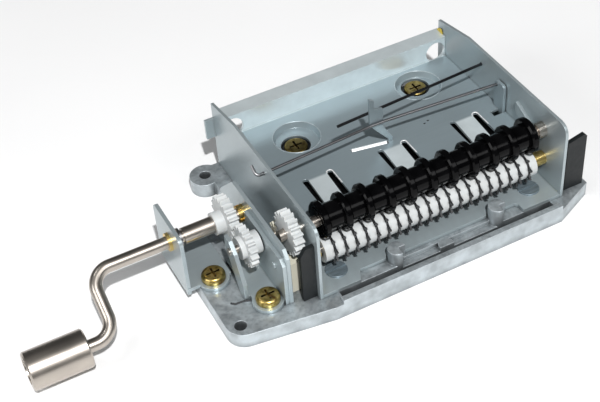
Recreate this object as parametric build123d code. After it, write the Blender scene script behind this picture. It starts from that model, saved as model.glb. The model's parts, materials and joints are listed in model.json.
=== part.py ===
from build123d import *
import math
import os

os.makedirs("parts", exist_ok=True)

# Hand-cranked music movement that plays a punched paper strip.
# X runs along the shafts, crank at -X. Y runs from the roller to the rear lip. Z is up.
# The underside of the base is z = 0 and the star wheel axle stands over y = 0.

# base and chassis sheets
BASE_T = 4.3
FLOOR_T = 1.0
SHEET = 0.8
BRACKET_T = 1.0
FLOOR_Z = BASE_T + FLOOR_T

# notes and star wheels
NOTES = 20
NOTE_PITCH = 3.0
STAR_TEETH = 10
STAR_TIP_R = 4.75
STAR_ROOT_R = 3.15
STAR_T = 0.5
STAR_SIDE_GAP = 0.12
STAR_BORE_CLEAR = 0.06
STAR_FLOOR_GAP = 1.85
SPACER_R = 3.5
AXLE_R = 1.0
AXLE_OUT = 0.4
AXLE_Z = FLOOR_Z + STAR_TIP_R + STAR_FLOOR_GAP
DRUM_HALF = NOTE_PITCH * NOTES / 2
STAR_X = [NOTE_PITCH * (i - (NOTES - 1) / 2) for i in range(NOTES)]
SPACER_X = [NOTE_PITCH * (i - NOTES / 2) for i in range(NOTES + 1)]
SPACER_L = NOTE_PITCH - STAR_T - 2 * STAR_SIDE_GAP

# rubber roller above the star wheels
PAPER_ROOM = 0.55
STAR_ROOM = 0.65
RING_SIDE_GAP = 0.3
RUN_CLEAR = 0.05
ROLLER_Y = 0.95
ROLLER_RING_R = 4.85
ROLLER_RING_EDGE = 0.4
ROLLER_END = 1.1
ROLLER_SHAFT_R = 1.5
ROLLER_SHAFT_OUT = 0.9
ROLLER_SHAFT_LEAD = 1.7
ROLLER_Z = AXLE_Z + SPACER_R + ROLLER_RING_R + PAPER_ROOM
ROLLER_CORE_R = ROLLER_Z - AXLE_Z - STAR_TIP_R - STAR_ROOM
ROLLER_RING_W = NOTE_PITCH - STAR_T - 2 * RING_SIDE_GAP

# gear train: roller to idler to crank
MODULE = 0.6
PRESSURE_DEG = 25.0
ADDENDUM = 0.8
ROOT_CLEAR = 0.25
BACKLASH = 0.14
CRANK_TEETH = 20
IDLER_TEETH = 17
PINION_TEETH = 9
ROLLER_TEETH = 18
GEAR_W = 2.6
GEAR_SETBACK = 0.3
PINION_SETBACK = 0.1
HUB_R = 3.0
IDLER_HUB_OUT = 0.9
IDLER_AXLE_R = 1.0
IDLER_DEG = -39.5
CRANK_DEG = -0.5
DEDENDUM = ADDENDUM + ROOT_CLEAR
ROLLER_GEAR_TIP = MODULE * (ROLLER_TEETH / 2 + ADDENDUM)
ROLLER_TO_IDLER = MODULE * (ROLLER_TEETH + PINION_TEETH) / 2
IDLER_TO_CRANK = MODULE * (IDLER_TEETH + CRANK_TEETH) / 2
IDLER_Y = ROLLER_Y + ROLLER_TO_IDLER * math.cos(math.radians(IDLER_DEG))
IDLER_Z = ROLLER_Z + ROLLER_TO_IDLER * math.sin(math.radians(IDLER_DEG))
CRANK_Y = IDLER_Y + IDLER_TO_CRANK * math.cos(math.radians(CRANK_DEG))
CRANK_Z = IDLER_Z + IDLER_TO_CRANK * math.sin(math.radians(CRANK_DEG))
TURN_CRANK = math.radians(CRANK_DEG) + math.pi
TURN_PINION = math.radians(IDLER_DEG) + math.pi

# places along X, from the drum outwards to the knob
SIDE_MARGIN = 5.1
WALL_GEAR_GAP = 1.2
GEAR_PLATE_GAP = 2.3
FLANGE_GEAR_GAP = 2.3
CRANK_HUB_L = 2.6
SLEEVE_L = 8.2
SLEEVE_FLANGE_GAP = 3.5
CRANK_REACH = 21.2
KNOB_GAP = 7.2
INNER_HALF = DRUM_HALF + SIDE_MARGIN
WALL_X = INNER_HALF + SHEET
ROLLER_GEAR_X = -WALL_X - WALL_GEAR_GAP - GEAR_W
BEARING_PLATE_X = ROLLER_GEAR_X - GEAR_PLATE_GAP - BRACKET_T
GEAR_FLANGE_X = BEARING_PLATE_X - BRACKET_T
CRANK_GEAR_X = GEAR_FLANGE_X - FLANGE_GEAR_GAP - GEAR_W
SLEEVE_X1 = CRANK_GEAR_X - CRANK_HUB_L
SLEEVE_X0 = SLEEVE_X1 - SLEEVE_L
CRANK_FLANGE_X = SLEEVE_X0 - SLEEVE_FLANGE_GAP
CRANK_BEND_X = CRANK_FLANGE_X - CRANK_REACH
KNOB_X1 = CRANK_BEND_X - KNOB_GAP

# cast base
BASE_FRONT = -12.9
BASE_CUT = 3.2
BASE_SIDE = 8.6
BASE_SKEW = 3.7
BASE_FRONT_CUT = 5.3
BASE_REAR_CUT = 8.3
NECK_IN = 1.0
NECK_FRONT = 13.3
NECK_BACK = 7.3
NOTCH_BEHIND = 1.0
NOTCH_RISE = 5.3
NOTCH_RUN = 1.8
NOTCH_OUT = 0.2
BASE_LEFT = CRANK_FLANGE_X + BASE_CUT
BASE_RIGHT = WALL_X + BASE_SIDE
BASE_CORNER_R = 5.0
FRONT_WALL_T = 1.6
FRONT_WALL_H = 1.3
FRONT_WALL_LEFT = 4.1
FRONT_WALL_RIGHT = 2.9
FRONT_WALL_LEAD = 2.0
FRONT_WALL_X0 = FRONT_WALL_LEFT - WALL_X
FRONT_WALL_X1 = WALL_X - FRONT_WALL_RIGHT
CHANNEL_FLOOR = 1.2
CHANNEL_W = 2.8
CHANNEL_END = 1.0
LEDGE_W = 2.0
LEDGE_DROP = 1.2
LEDGE_NOSE_R = 2.1
LEDGE_NOSE = 0.6
POST_X = (-13.0, 16.9)
POST_R = 2.4
POST_H = 4.1
POST_SLOT = 0.4
EAR_OUT = 5.5
EAR_X = WALL_X + EAR_OUT
EAR_R = 4.3
EAR_INSET = 2.9
FOOT_HOLE_R = 1.6
FRONT_HOLE_IN = 3.4
FRONT_HOLE_BACK = 6.8
FRONT_HOLE = (BASE_LEFT + FRONT_HOLE_IN, BASE_FRONT + FRONT_HOLE_BACK)

# comb and the rear of the base
COMB_T = 1.6
COMB_TOOTH_T = 0.9
COMB_TOOTH_W = 2.4
COMB_TIP_GAP = 0.3
COMB_SIDE = 0.4
COMB_REAR = 44.0
COMB_PLATE_L = 18.0
COMB_TREBLE_L = 9.0
COMB_BASS_L = 0.5
SEAT_L = 14.5
REAR_MARGIN = 7.3
COMB_HALF = DRUM_HALF + COMB_SIDE
COMB_ROOT = COMB_REAR - COMB_PLATE_L
BASE_REAR = COMB_REAR + REAR_MARGIN
EAR_Y = BASE_REAR - EAR_INSET

# pressed chassis: floor and two side walls
WALL_OVER_ROLLER = 7.0
WALL_FRONT_OUT = 0.1
WALL_KINK = 14.9
WALL_DROP = 2.8
WALL_CORNER_R = 3.0
FLOOR_REAR = 24.0
FLOOR_STEP = 3.2
FLOOR_STEP_IN = 12.1
FLOOR_STEP_RUN = 0.8
FLOOR_STEP_X = WALL_X - FLOOR_STEP_IN
POST_NOTCH_GAP = 0.3
TAB_OUT = 2.6
TAB_DROP = 1.1
TAB_H = 6.2
GUIDE = ((5.3, 4.3), (11.9, 7.3), (11.9, 3.7), (7.0, 2.9))
FLOOR_FRONT = BASE_FRONT + FRONT_WALL_T + CHANNEL_W
FLOOR_MID_FRONT = FLOOR_FRONT + FLOOR_STEP
WALL_FRONT = FLOOR_FRONT - WALL_FRONT_OUT
WALL_TOP = ROLLER_Z + WALL_OVER_ROLLER
POST_BEHIND = 2.2
POST_Y = FLOOR_FRONT + POST_BEHIND

# paper table
TABLE_BELOW = 0.1
TABLE_FRONT = 7.0
UPSTAND_GAP = 3.5
UPSTAND_H = 6.4
LIP_L = 4.7
RELIEF_R = 3.0
RELIEF_EDGE = 0.3
DIMPLE_RUN = 0.7
DIMPLE_WALL = 0.7
DIMPLE_DEPTH = 1.6
TONGUE_X = (-20.6, 1.7, 24.0)
TONGUE_W = 5.4
TONGUE_L = 13.5
TONGUE_TIP = 0.4
TONGUE_DROP = 1.3
SLOT_W = 1.7
HOOK_BEHIND = 2.5
HOOK_X0 = -3.4
HOOK_W = 3.9
HOOK_SPIKE_W = 1.3
HOOK_H = 16.2
HOOK_SHOULDER = 11.8
HOOK_LOW = 7.9
HOOK_WAIST = 1.9
HOOK_SLANT = 0.8
HOOK_NECK_W = 1.2
HOOK_ROOT_X = 2.1
HOOK_SLOT_L = 10.4
HOOK_SLOT_W = 1.2
HOOK_SLOT_GAP = 0.2
HOOK_SLOT_DEG = -10.8
LUG_INSET = 1.0
LUG_BEHIND = 10.2
LUG_W = 4.4
LUG_H = 8.7
LUG_CUT = 2.2
LUG_CUT_L = 2.6
LUG_R = 1.2
TABLE_Z = AXLE_Z + SPACER_R - TABLE_BELOW
UPSTAND_Y = COMB_REAR + UPSTAND_GAP
LIP_Z = TABLE_Z + UPSTAND_H
LIP_REAR = UPSTAND_Y + LIP_L
TONGUE_ROOT = TABLE_FRONT + TONGUE_L
HOOK_Y = TONGUE_ROOT + HOOK_BEHIND
LUG_X = INNER_HALF - LUG_INSET
LUG_Y = TABLE_FRONT + LUG_BEHIND
COMB_TOP = TABLE_Z - DIMPLE_DEPTH - SHEET
SEAT_Z = COMB_TOP - COMB_T

# spring wires, heights over the table
WIRE_R = 0.4
WIRE_HOLE_GAP = 0.15
WIRE_SEAT_GAP = 0.02
WIRE_BEND_R = 1.0
WIRE_STUB = 2.5
WIRE_TAIL = (2.7, 1.5)
LONG_LEFT_Y = 19.4
LONG_LEFT_H = 9.2
LONG_HOOK_H = 7.9
LONG_RIGHT_Y = 3.5
LONG_RIGHT_H = 7.3
SHORT_RIGHT_Y = 29.6
SHORT_RIGHT_H = 8.1
SHORT_HOOK_H = 11.0
SHORT_TAIL = 9.6
WIRE_END = 0.6
LONG_LEFT = (LONG_LEFT_Y, TABLE_Z + LONG_LEFT_H)
LONG_RIGHT = (LUG_Y + LONG_RIGHT_Y, TABLE_Z + LONG_RIGHT_H)
SHORT_RIGHT = (SHORT_RIGHT_Y, TABLE_Z + SHORT_RIGHT_H)

# screws
SCREW_R = 1.5
SCREW_HOLE_CLEAR = 0.2
SCREW_DEPTH = 3.0
HEAD_ROUND = 0.55
HEAD_R = 3.1
HEAD_H = 1.9
CROSS_L = 3.6
CROSS_W = 0.6
CROSS_DEPTH = 0.8
COMB_HEAD_R = 3.2
COMB_HEAD_H = 0.9
COMB_HEAD_ROOM = 0.85
COMB_HOLE_R = COMB_HEAD_R + COMB_HEAD_ROOM
DIMPLE_FLOOR = 1.75
DIMPLE_FLOOR_R = COMB_HOLE_R + DIMPLE_FLOOR
DIMPLE_IN = (12.5, 9.2)
DIMPLE_FRONT = (6.5, 4.5)
DIMPLES = [
    (DIMPLE_IN[0] - COMB_HALF, COMB_REAR - DIMPLE_FRONT[0]),
    (COMB_HALF - DIMPLE_IN[1], COMB_REAR - DIMPLE_FRONT[1]),
]
COMB_SCREW_IN = (11.5, 9.3)
COMB_SCREW_FRONT = (7.7, 3.1)
COMB_SCREW = [
    (COMB_SCREW_IN[0] - COMB_HALF, COMB_REAR - COMB_SCREW_FRONT[0]),
    (COMB_HALF - COMB_SCREW_IN[1], COMB_REAR - COMB_SCREW_FRONT[1]),
]
FLOOR_SCREW_IN = (7.7, 6.5)
FLOOR_SCREW_BACK = 6.1
FLOOR_SCREW_Y = FLOOR_FRONT + FLOOR_SCREW_BACK
FLOOR_SCREW = [(FLOOR_SCREW_IN[0] - WALL_X, FLOOR_SCREW_Y), (WALL_X - FLOOR_SCREW_IN[1], FLOOR_SCREW_Y)]
FLOOR_HEAD_R = 2.9
FLOOR_HEAD_H = 0.4
FLOOR_SLOT_W = 0.6
FLOOR_SLOT_DEPTH = 0.35

# crank bracket, set out from the crank axis
CRANK_FLANGE_FRONT = 7.7
CRANK_FLANGE_BACK = 9.2
CRANK_FLANGE_OVER = 6.05
CRANK_FLANGE_DROP = 1.0
CRANK_FLANGE_R = 2.0
CRANK_FOOT_LIP = 0.6
TAB_R = 4.0
CRANK_SCREW_IN = 7.4
CRANK_SCREW_FRONT = 7.3
CRANK_SCREW = (CRANK_FLANGE_X + CRANK_SCREW_IN, CRANK_Y - CRANK_SCREW_FRONT)

# gear bracket and bearing plate, set out from the idler and crank axes
GEAR_FOOT_L = 6.5
GEAR_FOOT_Y0 = -3.0
GEAR_FOOT_Y1 = 15.0
GEAR_FLANGE_Y0 = -5.8
GEAR_FLANGE_BACK = 8.2
GEAR_FLANGE_OVER = 3.15
GEAR_FLANGE_Y1 = IDLER_Y + GEAR_FLANGE_BACK
GEAR_FLANGE_Z1 = IDLER_Z + GEAR_FLANGE_OVER
GEAR_FLANGE_CUT = 1.6
GEAR_PIP_FRONT = 8.0
GEAR_PIP_DROP = 1.65
GEAR_PIP_R = 0.9
GEAR_PIP_H = 0.4
ARM_OUT = 1.5
ARM_FRONT = 6.4
ARM_BACK = 2.7
ARM_FOOT_W = 2.6
ARM_OVER = 3.4
FOOT_GAP = 0.8
BEARING_PLATE_Y0 = -6.0
BEARING_PLATE_BACK = 14.7
BEARING_PLATE_OVER = 5.85
BEARING_PLATE_Y1 = CRANK_Y + BEARING_PLATE_BACK
BEARING_PLATE_Z1 = CRANK_Z + BEARING_PLATE_OVER
BEARING_PLATE_CUT = 9.0
BEARING_PLATE_NOSE = 2.0
GEAR_FOOT_X0 = GEAR_FLANGE_X - GEAR_FOOT_L
CRANK_FOOT_X1 = GEAR_FOOT_X0 - FOOT_GAP
ARM_X = GEAR_FOOT_X0 - ARM_OUT
GEAR_SCREW_OUT = 3.3
GEAR_SCREW_Y = -2.6
GEAR_SCREW = (GEAR_FLANGE_X - GEAR_SCREW_OUT, GEAR_SCREW_Y)

# crank
ROD_R = 1.65
CRANK_SHAFT_R = 1.5
SLEEVE_WALL = 0.7
CRANK_THROW = 16.5
CRANK_REST_DEG = 212.0
BEND_R = 5.0
CLIP_T = 0.5
CLIP_GAP = 1.3
CLIP_WALL = 0.9
KNOB_L = 15.2
KNOB_R = 4.9
KNOB_EDGE = 0.4
KNOB_PIN_R = 1.3
KNOB_RECESS_R = 3.2
KNOB_RECESS = 2.2
RIVET_R = 2.2
RIVET_T = 1.2
KNOB_Y = CRANK_Y + CRANK_THROW * math.cos(math.radians(CRANK_REST_DEG))
KNOB_Z = CRANK_Z + CRANK_THROW * math.sin(math.radians(CRANK_REST_DEG))

# bushes
CRANK_BUSH_WALL = 0.7
CRANK_BUSH_OUT = 0.8
CRANK_BUSH_IN = 1.0
CRANK_BUSH_RIM = 0.8
CRANK_BUSH_RIM_T = 0.6
INNER_BUSH_WALL = 0.35
INNER_BUSH_RIM = 0.4
INNER_BUSH_L = 1.7
BUSH_NOTCH = 0.9
BUSH_NOTCH_W = 0.7
ROLLER_BUSH_WALL = 0.55
ROLLER_BUSH_OUT = 0.5
ROLLER_BUSH_IN = (0.5, 2.2)
DRUM_BUSH_WALL = 0.9
DRUM_BUSH_OUT = 0.3
DRUM_BUSH_IN = 3.4
CRANK_BUSH_R = ROD_R + RUN_CLEAR + CRANK_BUSH_WALL
INNER_BUSH_R = CRANK_SHAFT_R + RUN_CLEAR + INNER_BUSH_WALL
ROLLER_BUSH_R = ROLLER_SHAFT_R + RUN_CLEAR + ROLLER_BUSH_WALL
DRUM_BUSH_R = AXLE_R + DRUM_BUSH_WALL

# side stops and bearing block in front of the roller gear
STOP_T = 1.2
STOP_GEAR_GAP = 0.87
STOP_H = 17.1
STOP_W = 3.8
STOP_CUT = 1.4
STOP_CUT_H = 2.2
STOP_RIGHT_GAP = 1.6
STOP_RIGHT_W = 5.8
STOP_RIGHT_CUT = 0.8
STOP_RIGHT_SLOPE = 1.2
STOP_WEB_T = 0.7
STOP_WEB_DROP = 2.0
BLOCK_PLATE_GAP = 1.4
BLOCK_W = 2.5
BLOCK_L = 3.5
BLOCK_BEHIND = 2.9
BLOCK_TOP_GAP = 0.92
STOP_Y = ROLLER_Y - ROLLER_GEAR_TIP - STOP_GEAR_GAP - STOP_T
STOP_Z1 = BASE_T + STOP_H


def box(x0, x1, y0, y1, z0, z1):
    size = Box(x1 - x0, y1 - y0, z1 - z0)
    return Pos((x0 + x1) / 2, (y0 + y1) / 2, (z0 + z1) / 2) * size


def rod_x(x0, x1, y, z, r):
    body = Cylinder(r, x1 - x0, align=(Align.CENTER, Align.CENTER, Align.MIN))
    return Pos(x0, y, z) * Rot(0, 90, 0) * body


def rod_z(x, y, z0, z1, r):
    body = Cylinder(r, z1 - z0, align=(Align.CENTER, Align.CENTER, Align.MIN))
    return Pos(x, y, z0) * body


def slab_x(x0, x1, points):
    face = Plane.YZ * make_face(Polyline(*points, close=True))
    return Pos(x0, 0, 0) * extrude(face, x1 - x0)


def slab_y(y0, y1, points):
    face = Plane.XZ * make_face(Polyline(*points, close=True))
    return Pos(0, y1, 0) * extrude(face, y1 - y0)


def slab_z(z0, z1, points):
    face = make_face(Polyline(*points, close=True))
    return Pos(0, 0, z0) * extrude(face, z1 - z0)


def involute(angle):
    return math.tan(angle) - angle


def gear_points(teeth):
    pitch_r = MODULE * teeth / 2
    base_r = pitch_r * math.cos(math.radians(PRESSURE_DEG))
    tip_r = pitch_r + ADDENDUM * MODULE
    root_r = pitch_r - DEDENDUM * MODULE
    half = (math.pi * MODULE / 2 - BACKLASH) / (2 * pitch_r)
    start_r = max(base_r, root_r)
    flank = []
    for k in range(4):
        r = start_r + (tip_r - start_r) * k / 3
        turn = half + involute(math.radians(PRESSURE_DEG)) - involute(math.acos(base_r / r))
        flank.append((r, turn))
    if root_r < base_r:
        flank.insert(0, (root_r, flank[0][1]))
    points = []
    for tooth in range(teeth):
        centre = 2 * math.pi * tooth / teeth
        for r, turn in flank:
            points.append((r * math.cos(centre - turn), r * math.sin(centre - turn)))
        for r, turn in reversed(flank):
            points.append((r * math.cos(centre + turn), r * math.sin(centre + turn)))
    return points


def gear(teeth, x0, width, y, z, turn):
    c = math.cos(turn)
    s = math.sin(turn)
    points = [(y + c * u - s * v, z + s * u + c * v) for u, v in gear_points(teeth)]
    return slab_x(x0, x0 + width, points)


def base_outline():
    notch_x = GEAR_FLANGE_X - NOTCH_OUT
    notch_y = CRANK_Y + CRANK_FLANGE_BACK + NOTCH_BEHIND
    neck_x = NECK_IN - EAR_X
    outline = slab_z(
        0,
        BASE_T,
        [
            (BASE_LEFT, BASE_FRONT + BASE_SKEW),
            (FRONT_WALL_X0 - FRONT_WALL_LEAD, BASE_FRONT),
            (FRONT_WALL_X1, BASE_FRONT),
            (BASE_RIGHT, BASE_FRONT + BASE_FRONT_CUT),
            (BASE_RIGHT, BASE_REAR - BASE_REAR_CUT),
            (EAR_X, BASE_REAR),
            (-EAR_X, BASE_REAR),
            (neck_x, BASE_REAR - NECK_BACK),
            (neck_x, BASE_REAR - NECK_FRONT),
            (notch_x, notch_y + NOTCH_RISE),
            (notch_x - NOTCH_RUN, notch_y),
            (BASE_LEFT, notch_y),
        ],
    )
    corner = outline.edges().filter_by(Axis.Z).group_by(Axis.X)[0].sort_by(Axis.Y)
    outline = fillet([corner[0]], BASE_CORNER_R)
    for side in (-1, 1):
        outline += rod_z(side * EAR_X, EAR_Y, 0, BASE_T, EAR_R)
    return outline


def post(x):
    top = BASE_T + POST_H
    body = rod_z(x, POST_Y, 0, top, POST_R)
    return body - box(x + POST_SLOT, x + POST_R, POST_Y - POST_R, POST_Y, CHANNEL_FLOOR, top)


def base_plate():
    body = base_outline()
    wall_in = BASE_FRONT + FRONT_WALL_T
    body += box(FRONT_WALL_X0, FRONT_WALL_X1, BASE_FRONT, wall_in, 0, BASE_T + FRONT_WALL_H)
    end0 = FRONT_WALL_X0 + CHANNEL_END
    end1 = FRONT_WALL_X1 - CHANNEL_END
    body -= box(end0, end1, wall_in, FLOOR_FRONT, CHANNEL_FLOOR, BASE_T)
    body -= box(POST_X[0], POST_X[1], FLOOR_FRONT, FLOOR_FRONT + LEDGE_W, BASE_T - LEDGE_DROP, BASE_T)
    nose = rod_z(LEDGE_NOSE, FLOOR_FRONT + LEDGE_NOSE, 0, BASE_T, LEDGE_NOSE_R)
    body += nose - box(end0, end1, wall_in, FLOOR_FRONT, 0, BASE_T)
    for x in POST_X:
        body += post(x)
    body += box(-COMB_HALF, COMB_HALF, COMB_REAR - SEAT_L, COMB_REAR, BASE_T, SEAT_Z)
    for side in (-1, 1):
        body -= rod_z(side * EAR_X, EAR_Y, 0, BASE_T, FOOT_HOLE_R)
    body -= rod_z(FRONT_HOLE[0], FRONT_HOLE[1], 0, BASE_T, FOOT_HOLE_R)
    for x, y in FLOOR_SCREW + [CRANK_SCREW, GEAR_SCREW]:
        body -= rod_z(x, y, BASE_T - SCREW_DEPTH, BASE_T, SCREW_R)
    for x, y in COMB_SCREW:
        body -= rod_z(x, y, SEAT_Z - SCREW_DEPTH, SEAT_Z, SCREW_R)
    return body


def floor_sheet():
    points = [
        (-WALL_X, FLOOR_FRONT),
        (-FLOOR_STEP_X - FLOOR_STEP_RUN, FLOOR_FRONT),
        (-FLOOR_STEP_X + FLOOR_STEP_RUN, FLOOR_MID_FRONT),
        (FLOOR_STEP_X - FLOOR_STEP_RUN, FLOOR_MID_FRONT),
        (FLOOR_STEP_X, FLOOR_MID_FRONT - FLOOR_STEP_RUN),
        (FLOOR_STEP_X, FLOOR_FRONT),
        (WALL_X, FLOOR_FRONT),
        (WALL_X, FLOOR_REAR),
        (-WALL_X, FLOOR_REAR),
    ]
    body = slab_z(BASE_T, FLOOR_Z, points)
    reach = POST_R + POST_NOTCH_GAP
    for x in POST_X:
        body -= box(x - reach, x + reach, FLOOR_FRONT, POST_Y, BASE_T, FLOOR_Z)
        body -= rod_z(x, POST_Y, BASE_T, FLOOR_Z, reach)
    for x, y in FLOOR_SCREW:
        body -= rod_z(x, y, BASE_T, FLOOR_Z, SCREW_R + SCREW_HOLE_CLEAR)
    return body


def wall_points():
    points = [(WALL_FRONT, BASE_T), (WALL_FRONT, WALL_TOP - WALL_CORNER_R)]
    centre_y = WALL_FRONT + WALL_CORNER_R
    centre_z = WALL_TOP - WALL_CORNER_R
    for k in range(1, 6):
        turn = math.pi - k * math.pi / 10
        points.append((centre_y + WALL_CORNER_R * math.cos(turn), centre_z + WALL_CORNER_R * math.sin(turn)))
    points.append((BASE_REAR - WALL_KINK, WALL_TOP))
    points.append((BASE_REAR, WALL_TOP - WALL_DROP))
    points.append((BASE_REAR, BASE_T))
    return points


def chassis():
    body = floor_sheet()
    for x in (-WALL_X, INNER_HALF):
        side = slab_x(x, x + SHEET, wall_points())
        side -= rod_x(x, x + SHEET, 0, AXLE_Z, DRUM_BUSH_R)
        side -= rod_x(x, x + SHEET, ROLLER_Y, ROLLER_Z, ROLLER_BUSH_R)
        body += side
    hole = WIRE_R + WIRE_HOLE_GAP
    body -= rod_x(-WALL_X, -INNER_HALF, LONG_LEFT[0], LONG_LEFT[1], hole)
    body -= rod_x(INNER_HALF, WALL_X, SHORT_RIGHT[0], SHORT_RIGHT[1], hole)
    low = TABLE_Z - TAB_DROP
    body += box(-WALL_X - TAB_OUT, -WALL_X, BASE_REAR - SHEET, BASE_REAR, low, low + TAB_H)
    body += slab_x(INNER_HALF - SHEET, INNER_HALF, [(y, TABLE_Z + rise) for y, rise in GUIDE])
    return body


def dimple(place, grow):
    low = DIMPLE_FLOOR_R + grow
    cone = Cone(low, low + DIMPLE_RUN, DIMPLE_DEPTH, align=(Align.CENTER, Align.CENTER, Align.MIN))
    return Pos(place[0], place[1], 0) * cone


def tongue(x):
    half = TONGUE_W / 2
    tip = TABLE_FRONT + TONGUE_TIP
    low = TABLE_Z - TONGUE_DROP
    side = [(TONGUE_ROOT, TABLE_Z), (tip, low), (tip, low - SHEET), (TONGUE_ROOT, TABLE_Z - SHEET)]
    return slab_x(x - half, x + half, side)


def tongue_slots(x):
    under = TABLE_Z - SHEET
    half = TONGUE_W / 2 + SLOT_W
    cut = box(x - half, x + half, TABLE_FRONT, TONGUE_ROOT, under, TABLE_Z)
    for side in (-1, 1):
        end = x + side * (TONGUE_W + SLOT_W) / 2
        cut += rod_z(end, TONGUE_ROOT, under, TABLE_Z, SLOT_W / 2)
    return cut


def hook():
    left = HOOK_X0
    right = HOOK_X0 + HOOK_W
    spike = HOOK_X0 + HOOK_SPIKE_W
    root = HOOK_ROOT_X + HOOK_NECK_W
    face = [
        (left, HOOK_LOW),
        (left, HOOK_H),
        (spike, HOOK_H - HOOK_SLANT),
        (spike, HOOK_SHOULDER + HOOK_SLANT),
        (right, HOOK_SHOULDER),
        (right, HOOK_LOW - HOOK_WAIST),
        (root, HOOK_NECK_W),
        (root, -SHEET),
        (HOOK_ROOT_X, -SHEET),
        (HOOK_ROOT_X, HOOK_SLANT),
        (left + HOOK_NECK_W, HOOK_LOW - HOOK_WAIST),
    ]
    return slab_y(HOOK_Y, HOOK_Y + SHEET, [(x, TABLE_Z + z) for x, z in face])


def hook_slot():
    slot = Box(HOOK_SLOT_L, HOOK_SLOT_W, SHEET, align=(Align.MAX, Align.CENTER, Align.MIN))
    return Pos(HOOK_ROOT_X - HOOK_SLOT_GAP, HOOK_Y, TABLE_Z - SHEET) * Rot(0, 0, HOOK_SLOT_DEG) * slot


def lug():
    under = TABLE_Z - SHEET
    plate = box(LUG_X, LUG_X + SHEET, LUG_Y, LUG_Y + LUG_W, under, TABLE_Z + LUG_H)
    return fillet(plate.edges().filter_by(Axis.X).group_by(Axis.Z)[-1], LUG_R)


def paper_table():
    under = TABLE_Z - SHEET
    body = box(-INNER_HALF, INNER_HALF, TABLE_FRONT, UPSTAND_Y + SHEET, under, TABLE_Z)
    body += box(-INNER_HALF, INNER_HALF, UPSTAND_Y, UPSTAND_Y + SHEET, TABLE_Z, LIP_Z)
    body += box(-INNER_HALF, INNER_HALF, UPSTAND_Y, LIP_REAR, LIP_Z - SHEET, LIP_Z)
    for side in (-1, 1):
        hole = rod_z(0, 0, 0, SHEET, RELIEF_R)
        inset = RELIEF_R + RELIEF_EDGE
        place = Pos(side * (INNER_HALF - inset), UPSTAND_Y + SHEET, LIP_Z - SHEET - inset)
        body -= place * Rot(90, 0, 0) * hole
    for place, screw_place in zip(DIMPLES, COMB_SCREW):
        body += Pos(0, 0, under - DIMPLE_DEPTH) * dimple(place, DIMPLE_WALL)
        body -= Pos(0, 0, TABLE_Z - DIMPLE_DEPTH) * dimple(place, 0)
        body -= rod_z(screw_place[0], screw_place[1], COMB_TOP, TABLE_Z, COMB_HOLE_R)
    for x in TONGUE_X:
        body -= tongue_slots(x)
        body += tongue(x)
    body -= hook_slot()
    body += hook()
    body -= box(LUG_X - LUG_CUT_L, LUG_X, LUG_Y, LUG_Y + LUG_CUT, under, TABLE_Z)
    body += lug()
    body -= rod_x(LUG_X, LUG_X + SHEET, LONG_RIGHT[0], LONG_RIGHT[1], WIRE_R + WIRE_HOLE_GAP)
    return body


def wire_long():
    front = HOOK_Y - WIRE_R - WIRE_SEAT_GAP
    rise = TABLE_Z + LONG_HOOK_H
    near = Vector(HOOK_X0 - WIRE_R, front, rise)
    far = Vector(HOOK_X0 + HOOK_W + WIRE_R, front, rise)
    hole = Vector(SHEET / 2 - WALL_X, *LONG_LEFT)
    elbow = hole + (hole - near).normalized() * WIRE_STUB
    tip = elbow + Vector(0, *WIRE_TAIL)
    end = Vector(LUG_X + SHEET + WIRE_SEAT_GAP, *LONG_RIGHT)
    path = FilletPolyline(tip, elbow, near, far, end, radius=WIRE_BEND_R)
    return sweep(Plane(path @ 0, z_dir=path % 0) * Circle(WIRE_R), path=path)


def wire_short():
    end = Vector(WALL_X + WIRE_END, *SHORT_RIGHT)
    back = HOOK_Y + SHEET + WIRE_R + WIRE_SEAT_GAP
    bearing = Vector(HOOK_X0, back, TABLE_Z + SHORT_HOOK_H)
    reach = (bearing - end).length + SHORT_TAIL
    plane = Plane(origin=end, z_dir=bearing - end)
    return extrude(plane * Circle(WIRE_R), reach)


def comb():
    body = box(-COMB_HALF, COMB_HALF, COMB_ROOT, COMB_REAR, SEAT_Z, COMB_TOP)
    tip = math.sqrt((STAR_TIP_R + COMB_TIP_GAP) ** 2 - (COMB_TOP - COMB_TOOTH_T - AXLE_Z) ** 2)
    low = COMB_TOP - COMB_TOOTH_T
    root = [
        (-COMB_HALF, COMB_ROOT),
        (COMB_HALF, COMB_ROOT),
        (COMB_HALF, COMB_ROOT - COMB_TREBLE_L),
        (-COMB_HALF, COMB_ROOT - COMB_BASS_L),
    ]
    body += slab_z(low, COMB_TOP, root)
    for x in STAR_X:
        half = COMB_TOOTH_W / 2
        body += box(x - half, x + half, tip, COMB_ROOT, low, COMB_TOP)
    for x, y in COMB_SCREW:
        body -= rod_z(x, y, SEAT_Z, COMB_TOP, SCREW_R + SCREW_HOLE_CLEAR)
    return body


def screw(x, y, seat, depth_to, head_r, head_h):
    dome = rod_z(x, y, seat, seat + head_h, head_r)
    dome = fillet(dome.edges().group_by(Axis.Z)[-1], head_h * HEAD_ROUND)
    return dome + rod_z(x, y, depth_to, seat, SCREW_R)


def cross_recess(x, y, top):
    cut = Box(CROSS_L, CROSS_W, CROSS_DEPTH) + Box(CROSS_W, CROSS_L, CROSS_DEPTH)
    return Pos(x, y, top - CROSS_DEPTH / 2) * cut


def comb_screw(place):
    body = screw(place[0], place[1], COMB_TOP, SEAT_Z - SCREW_DEPTH, COMB_HEAD_R, COMB_HEAD_H)
    return body - cross_recess(place[0], place[1], COMB_TOP + COMB_HEAD_H)


def bracket_screw(place):
    seat = BASE_T + BRACKET_T
    body = screw(place[0], place[1], seat, BASE_T - SCREW_DEPTH, HEAD_R, HEAD_H)
    return body - cross_recess(place[0], place[1], seat + HEAD_H)


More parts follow.
